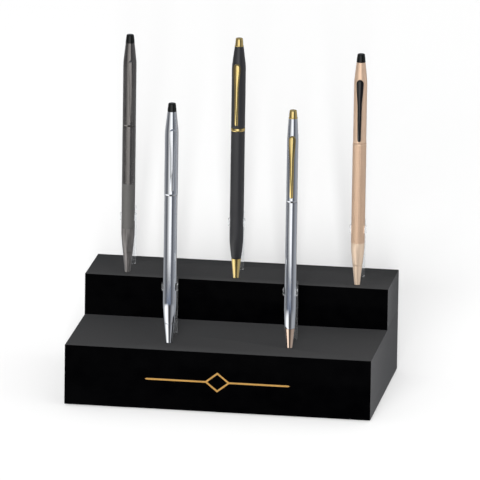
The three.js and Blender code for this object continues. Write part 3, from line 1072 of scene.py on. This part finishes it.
def cap_profile(pen):
    """The cap's outline from its seam to the finial, out and back along its bore."""
    full = cap_radius[pen]
    bottom = pen_joint[pen] + ring_half[pen] + seam_half
    top = pen_joint[pen] + cap_long[pen] - finial_tall
    outline = [
        (full - tube_wall, bottom),
        (full - 0.12, bottom),
        (full - 0.03, bottom + 0.04),
        (full, bottom + 0.12),
        (full, bottom + 0.9),
        (full, bottom + 1.4),
        (full, top - cap_taper - 2.6),
        (full, top - cap_taper - 1.4),
    ]
    steps = 16
    for step in range(1, steps + 1):
        share = step / steps
        radius = full - (full - cap_top_radius) * share**1.12
        outline.append((radius, top - cap_taper * (1 - share)))
    outline += [
        (cap_top_radius - 0.06, top),
        (stud_bore, top),
        (stud_bore, top - stud_deep),
        (full - tube_wall, top - cap_taper),
        (full - tube_wall, bottom),
    ]
    return outline


def pen_top(pen):
    """The upper end of the pen's finial, in millimetres above the table."""
    return nose_height(pen) + pen_joint[pen] + cap_long[pen]


for pen in pen_names:
    x, y, _ = middle_of(f"{pen}_barrel")
    base = nose_height(pen)
    profile = lift(cap_profile(pen), base)
    fluted = pen == "graphite_pen"
    sides = flute_lines if fluted else 96
    cap = turn_on_lathe(f"{pen}_cap_tube", x, y, profile, sides)
    if fluted:
        flute_low = base + pen_joint[pen] + flute_clear
        flute_high = pen_top(pen) - finial_tall - cap_taper - 2
        cut_flutes(cap, x, y, flute_low, flute_high)
    slot_high = pen_top(pen) - clip_below_top - mortise_below_clip
    slot_low = slot_high - clip_mortise_tall
    in_front = (-clip_mortise_half, -6, slot_low)
    inside = (clip_mortise_half, clip_mortise_deep - cap_radius[pen], slot_high)
    slot = block("mortise", in_front, inside)
    turned_by = Matrix.Rotation(math.radians(pen_turn[pen]), 4, "Z")
    slot.data.transform(Matrix.Translation(mm(x, y, 0)) @ turned_by)
    join_shapes(cap, slot, "DIFFERENCE")
    finish, finish_slot = barrel_finish[pen]
    settle(cap, finish)
    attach(cap, f"{pen}_top")
    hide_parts(f"{pen}_cap")

# Clips: stamped from spring strip with a round head, a waist and a round tip, then crowned and plated.
# Each stands close to its cap at the head and at the tip and bows out between them.

clip_long = 34.7
clip_head = 4.2
clip_waist = 2.55
clip_tip = 2.05
clip_gap = 0.12
clip_bow = 0.6
clip_thick = 0.92
waist_down = 0.47 * clip_long
shaft_parts = 34
shaft_long = clip_long - 1.1 - clip_head / 2
crown_point = 0.17
crown_flank = 0.12
clip_tenon_half = 0.75
clip_tenon_low = 2.7
clip_tenon_high = 1.4
clip_tenon_deep = 0.85


def clip_width(down):
    """How wide the clip is at a distance below its top."""
    half_head = clip_head / 2
    half_tip = clip_tip / 2
    if down < half_head:
        return 2 * math.sqrt(max(half_head**2 - (half_head - down) ** 2, 0.0))
    if down < waist_down:
        share = (down - half_head) / (waist_down - half_head)
        ease = share * share * (3 - 2 * share)
        return clip_head + (clip_waist - clip_head) * ease
    if down < clip_long - half_tip:
        share = (down - waist_down) / (clip_long - half_tip - waist_down)
        return clip_waist + (clip_tip - clip_waist) * share
    left = down - (clip_long - half_tip)
    return 2 * math.sqrt(max(half_tip**2 - left**2, 0.0))


def clip_stations():
    """Distances below the clip's top at which a section stands, close together at both ends."""
    head = [clip_head / 2 * (1 - math.cos(math.radians(a))) for a in (12, 24, 38, 52, 66, 78, 90)]
    shaft = [clip_head / 2 + shaft_long * part / shaft_parts for part in range(1, shaft_parts)]
    tip = [clip_long - clip_tip / 2 * (1 - math.sin(math.radians(a))) for a in (0, 18, 36, 52, 66, 78)]
    return head + shaft + tip


def clip_blank(name, radius):
    """The clip with its top at the origin, in front of a cap of this radius: sections joined downwards."""
    stations = clip_stations()

    def section(down):
        share = down / clip_long
        stand_off = radius + clip_gap + clip_bow * math.sin(math.pi * share) ** 0.7
        width = clip_width(down)
        thick = clip_thick * min(1, (width / clip_head) ** 0.35)
        return -stand_off, width, thick

    y, width, thick = section(stations[0])
    blank = circle(name, 4, 500, (0, y, -stations[0]), "NGON")
    blank.scale = mm(width, 2 * thick, 1)
    bpy.ops.object.transform_apply(location=True, rotation=True, scale=True)
    pick(blank, "VERT", lambda point: point.co.y > mm(y) + mm(thick) / 2)
    bpy.ops.transform.resize(value=(1, 0.1, 1), center_override=mm(0, y, -stations[0]))
    bpy.ops.object.mode_set(mode="OBJECT")
    pick(blank, "VERT", lambda point: point.co.y < mm(y) - mm(thick) / 2)
    flank = math.hypot(width / 2, thick)
    bpy.ops.mesh.bevel(offset=mm(crown_point * flank), segments=1, affect="VERTICES")
    bpy.ops.mesh.select_all(action="INVERT")
    bpy.ops.mesh.bevel(offset=mm(crown_flank * flank), segments=4, affect="VERTICES")
    bpy.ops.mesh.select_all(action="SELECT")
    for before, after in zip(stations, stations[1:]):
        next_y, next_width, next_thick = section(after)
        extrude(mm(0, next_y - y, before - after))
        growth = (next_width / width, next_thick / thick, 1)
        centre = mm(0, next_y, -after)
        bpy.ops.transform.resize(value=growth, center_override=centre)
        y, width, thick = next_y, next_width, next_thick
    bpy.ops.mesh.select_all(action="SELECT")
    bpy.ops.mesh.normals_make_consistent(inside=False)
    bpy.ops.object.mode_set(mode="OBJECT")
    return blank


gloss_black = grained_finish(
    "gloss_black_lacquer",
    ((0.0025, 0.003, 0.0026), (0.002, 0.0025, 0.0021), (0.003, 0.0035, 0.003)),
    rough=(0.1, 0.16),
    size=1.5,
    ior=1.48,
)

black_nickel = grained_finish(
    "black_nickel",
    ((0.0012, 0.0012, 0.0013), (0.001, 0.001, 0.0011), (0.0014, 0.0014, 0.0015)),
    rough=(0.08, 0.13),
    size=1.5,
    ior=1.75,
)

clip_finish = {
    "graphite_pen": (graphite, "graphite_lacquer"),
    "chrome_pen": (chrome, "chrome_plate"),
    "black_pen": (gold, "gold_plate"),
    "two_tone_pen": (gold, "gold_plate"),
    "rose_gold_pen": (black_nickel, "gloss_black"),
}
for pen in pen_names:
    x, y, _ = middle_of(f"{pen}_barrel")
    clip = clip_blank(f"{pen}_pocket_clip", cap_radius[pen])
    low = (-clip_tenon_half, -cap_radius[pen] - 0.4, -clip_tenon_low)
    high = (clip_tenon_half, clip_tenon_deep - cap_radius[pen], -clip_tenon_high)
    join_shapes(clip, block("tenon", low, high), "UNION")
    clip.rotation_euler.z = math.radians(pen_turn[pen])
    clip.location = mm(x, y, pen_top(pen) - clip_below_top)
    finish, finish_slot = clip_finish[pen]
    settle(clip, finish, crease=50)
    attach(clip, f"{pen}_top")
    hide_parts(f"{pen}_clip")

# Finials: small turned buttons that carry on the cap's taper, pushed into its top by a stud.
# Three are plain and lacquered black, two have a thin flange and are gold plated.

plain_button = [
    (0.6, -4),
    (1, -3.8),
    (1, 0.0),
    (2.36, 0.0),
    (2.43, 0.05),
    (2.44, 0.18),
    (2.36, 1.2),
    (2.24, 2.4),
    (2.1, 3.5),
    (2.02, 4.05),
    (1.94, 4.32),
    (1.78, 4.5),
    (1.52, 4.59),
    (1.1, 4.6),
    (0.5, 4.6),
]
flanged_button = [
    (0.6, -4),
    (1, -3.8),
    (1, 0.0),
    (2.3, 0.0),
    (2.4, 0.06),
    (2.42, 0.2),
    (2.42, 0.42),
    (2.36, 0.54),
    (2.22, 0.6),
    (2.18, 0.72),
    (2.2, 0.9),
    (2.18, 1.3),
    (2.1, 2.4),
    (2.0, 3.5),
    (1.95, 3.95),
    (1.88, 4.25),
    (1.72, 4.46),
    (1.46, 4.57),
    (1.05, 4.6),
    (0.5, 4.6),
]
finial_finish = {
    "graphite_pen": (gloss_black, "gloss_black"),
    "chrome_pen": (gloss_black, "gloss_black"),
    "black_pen": (gold, "gold_plate"),
    "two_tone_pen": (gold, "gold_plate"),
    "rose_gold_pen": (gloss_black, "gloss_black"),
}
for pen in pen_names:
    x, y, _ = middle_of(f"{pen}_barrel")
    shape = flanged_button if pen in ("black_pen", "two_tone_pen") else plain_button
    profile = lift(shape, pen_top(pen) - finial_tall)
    finish, finish_slot = finial_finish[pen]
    button = settle(turn_on_lathe(f"{pen}_top_button", x, y, profile, sides=72), finish)
    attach(button, f"{pen}_top")
    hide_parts(f"{pen}_finial")

# The floor under the stand: a plain near-white table that keeps the stand's soft shadow.
# Metal doesn't mirror it, because it mirrors the painted reflections of a studio given below instead.

let_go()
bpy.ops.mesh.primitive_plane_add(size=30, location=(0, 0, 0))
floor = bpy.context.object
floor.name = "pale_floor"
floor.visible_glossy = False
pale_floor = mixed_finish("pale_floor", (0.775, 0.775, 0.775), specular=0)
pale_floor.node_tree.nodes["Principled BSDF"].inputs["Roughness"].default_value = 1
floor.data.materials.append(pale_floor)

# Light: a broad key lights everything from low in front. Two narrow keys and a soft lamp light only the
# floor, and another soft lamp only the two steps. The room is soft and white, but metal shows painted
# reflections of a studio of its own: a tall white card in front on the left that glows for reflections
# only, and a background seen only in reflections, with dark flags beside the card and grey walls elsewhere.

camera_bearing = -81.51
lamp_far = 30


def far_lamp(name, from_camera, height, width, tall, power, lit=None):
    """A flat lamp far away that faces the stand, its bearing, height and size given as angles.

    Where a collection is given as lit, it lights only the pieces in it.
    """
    lamp = bpy.data.lights.new(name, "AREA")
    lamp.shape = "RECTANGLE"
    lamp.size = 2 * lamp_far * math.tan(math.radians(width / 2))
    lamp.size_y = 2 * lamp_far * math.tan(math.radians(tall / 2))
    lamp.energy = power
    stand = bpy.data.objects.new(name, lamp)
    turn = math.radians(camera_bearing + from_camera)
    rise = math.radians(height)
    level = lamp_far * math.cos(rise)
    stand.location = (level * math.cos(turn), level * math.sin(turn), lamp_far * math.sin(rise))
    stand.rotation_euler = (math.pi / 2 - rise, 0, turn + math.pi / 2)
    stand.visible_glossy = False
    stand.visible_camera = False
    stand.visible_transmission = False
    bpy.context.scene.collection.objects.link(stand)
    if lit:
        stand.light_linking.receiver_collection = lit


lit_floor = bpy.data.collections.new("lit_floor")
lit_floor.objects.link(floor)
lit_steps = bpy.data.collections.new("lit_steps")
lit_steps.objects.link(lower_step)
lit_steps.objects.link(upper_step)
far_lamp("broad_key", -10, 14, 26, 8, 7600)
far_lamp("left_floor_key", -0.6, 15.5, 1, 14, 6900, lit_floor)
far_lamp("right_floor_key", 0.6, 15.5, 1, 14, 6900, lit_floor)
far_lamp("floor_soft", -7, 13.5, 15, 8, 5200, lit_floor)
far_lamp("step_soft", -3, 14, 15, 8, 12000, lit_steps)

card_far = 1200
card_low = -246
card_tall = 900
card_left = -62
card_right = 14
card_fade_tall = 24
card_full_from = -16
# The card glows and is seen only in reflections, a painted reflection: full in the middle and on the right,
# dimmer towards its left edge and fading out at its bottom.
card = circle("painted_reflection_card", 360, card_far, (0, 0, card_low))


def beside_card(point):
    """Whether a point of the circle lies beyond the card's two upright edges."""
    turn = math.degrees(math.atan2(point.co.y, point.co.x)) - camera_bearing
    return not card_left <= (turn + 180) % 360 - 180 <= card_right


pick(card, "VERT", beside_card)
bpy.ops.mesh.delete(type="VERT")
bpy.ops.mesh.select_all(action="SELECT")
extrude(mm(0, 0, card_tall))
bpy.ops.object.mode_set(mode="OBJECT")
painted_reflection_card = bpy.data.materials.new("painted_reflection_card")
painted_reflection_card.use_nodes = True
card_tree = painted_reflection_card.node_tree
card_tree.nodes.clear()
card_place = add_node(card_tree, "TexCoord", {}).outputs["Object"]
card_parts = add_node(card_tree, "SeparateXYZ", {"Vector": card_place}).outputs
fade_span = (mm(card_low), mm(card_low + card_fade_tall))
card_fade = rescale(card_tree, card_parts["Z"], fade_span, (0.2, 1.15), "SMOOTHSTEP")
card_turn = calculate(card_tree, "ARCTAN2", card_parts["Y"], card_parts["X"])
grade_span = [math.radians(camera_bearing + turn) for turn in (card_left, card_full_from)]
card_grade = rescale(card_tree, card_turn, grade_span, (0.16, 1))
card_strength = calculate(card_tree, "MULTIPLY", card_fade, card_grade)
card_glow = add_node(card_tree, "Emission", {"Strength": card_strength}).outputs["Emission"]
add_node(card_tree, "OutputMaterial", {"Surface": card_glow})
settle(card, painted_reflection_card)
card.visible_camera = False
card.visible_diffuse = False
card.visible_transmission = False
card.visible_shadow = False

world = bpy.data.worlds.new("soft_studio")
bpy.context.scene.world = world
world.use_nodes = True
sky = world.node_tree
sky.nodes.clear()
rays = add_node(sky, "LightPath", {}).outputs
toward = add_node(sky, "TexCoord", {}).outputs["Generated"]
sky_parts = add_node(sky, "SeparateXYZ", {"Vector": toward}).outputs
sky_turn = calculate(sky, "ARCTAN2", sky_parts["Y"], sky_parts["X"])
round_share = rescale(sky, sky_turn, (-math.pi, math.pi), (0, 1))

# Colours of the background seen only in reflections, painted reflections: grey walls, dark flags and a
# bluish band.
room = (0.32, 0.335, 0.36)
flag = (0.11, 0.115, 0.13)
blue_reflection_band = (0.17, 0.2, 0.27)
bright = (1.25, 1.25, 1.25)
side_dark = (0.2, 0.2, 0.2)
level_studio = [
    (-98.4, (0.22, 0.225, 0.235)),
    (-78, flag),
    (-60, flag),
    (-48, blue_reflection_band),
    (14, blue_reflection_band),
    (24, flag),
    (38, flag),
    (58, (0.23, 0.24, 0.26)),
    (80, (0.31, 0.32, 0.345)),
    (105, (0.37, 0.385, 0.41)),
    (148, room),
    (153, side_dark),
    (172, side_dark),
    (177, room),
    (230, (0.37, 0.38, 0.4)),
    (261.4, (0.22, 0.225, 0.235)),
]
# What the downward facing noses and tapers reflect: a bright painted reflection on the left and dark in
# front.
low_dark = (0.05, 0.05, 0.055)
low_studio = [
    (-98.4, (0.85, 0.85, 0.85)),
    (-84, bright),
    (-42, bright),
    (-16, low_dark),
    (12, low_dark),
    (30, (0.2, 0.205, 0.22)),
    (50, (0.36, 0.365, 0.38)),
    (74, (0.42, 0.425, 0.44)),
    (110, room),
    (220, room),
    (261.4, (0.85, 0.85, 0.85)),
]


def studio_ring(stops_wanted):
    """A background for reflections, its colour changing with the compass bearing, counted from the
    camera's: painted reflections.
    """
    ramp = add_node(sky, "ValToRGB", {"Fac": round_share})
    stops = ramp.color_ramp.elements
    for number, (turn, colour) in enumerate(stops_wanted):
        position = (turn + camera_bearing + 180) / 360
        stop = stops[number] if number < 2 else stops.new(position)
        stop.position = position
        stop.color = (*colour, 1)
    return add_node(sky, "Background", {"Color": ramp.outputs["Color"]}).outputs["Background"]


def mix(share, first, second):
    """Two backgrounds mixed by a share: the first at 0 and the second at 1."""
    return add_node(sky, "MixShader", {"Fac": share, 1: first, 2: second}).outputs["Shader"]


white = (1, 1, 1, 1)
downwards = rescale(sky, sky_parts["Z"], (-0.285, -0.33), (0, 1))
mirrored = mix(downwards, studio_ring(level_studio), studio_ring(low_studio))
overhead = rescale(sky, sky_parts["Z"], (0, 1), (0.2, 0.68))
from_right = rescale(sky, sky_parts["X"], (0, 1), (0, 0.4))
room_strength = calculate(sky, "ADD", overhead, from_right)
room_light = add_node(sky, "Background", {"Color": white, "Strength": room_strength})
seen_white = add_node(sky, "Background", {"Color": white}).outputs["Background"]
lit_or_mirrored = mix(rays["Is Glossy Ray"], room_light.outputs["Background"], mirrored)
seen = calculate(sky, "MAXIMUM", rays["Is Camera Ray"], rays["Is Transmission Ray"])
add_node(sky, "OutputWorld", {"Surface": mix(seen, lit_or_mirrored, seen_white)})

bpy.context.scene.view_settings.view_transform = "Standard"

# Camera: far away with a very long lens, as in the photograph, a little above and to the right.
# It is rolled by less than a degree.

camera_turn = math.radians(8.49)
camera_rise = math.radians(14.72)
camera_roll = math.radians(0.84)
camera_far = 5
sensor_wide = 36
picture_wide = 480
scale_on_picture = 1.8436
aim = mm(3.29, 0, 83.22)
level_part = math.cos(camera_rise)
backwards = Vector(
    (math.sin(camera_turn) * level_part, -math.cos(camera_turn) * level_part, math.sin(camera_rise))
)
level_right = Vector((math.cos(camera_turn), math.sin(camera_turn), 0))
level_up = backwards.cross(level_right)
across = math.cos(camera_roll) * level_right + math.sin(camera_roll) * level_up
upright = -math.sin(camera_roll) * level_right + math.cos(camera_roll) * level_up
lens = bpy.data.cameras.new("camera")
lens.sensor_width = sensor_wide
lens.lens = 1000 * scale_on_picture * camera_far * sensor_wide / picture_wide
camera = bpy.data.objects.new("camera", lens)
bpy.context.scene.collection.objects.link(camera)
turned_to = Matrix((across, upright, backwards)).transposed().to_4x4()
camera.matrix_world = Matrix.Translation(aim + camera_far * backwards) @ turned_to
bpy.context.scene.camera = camera
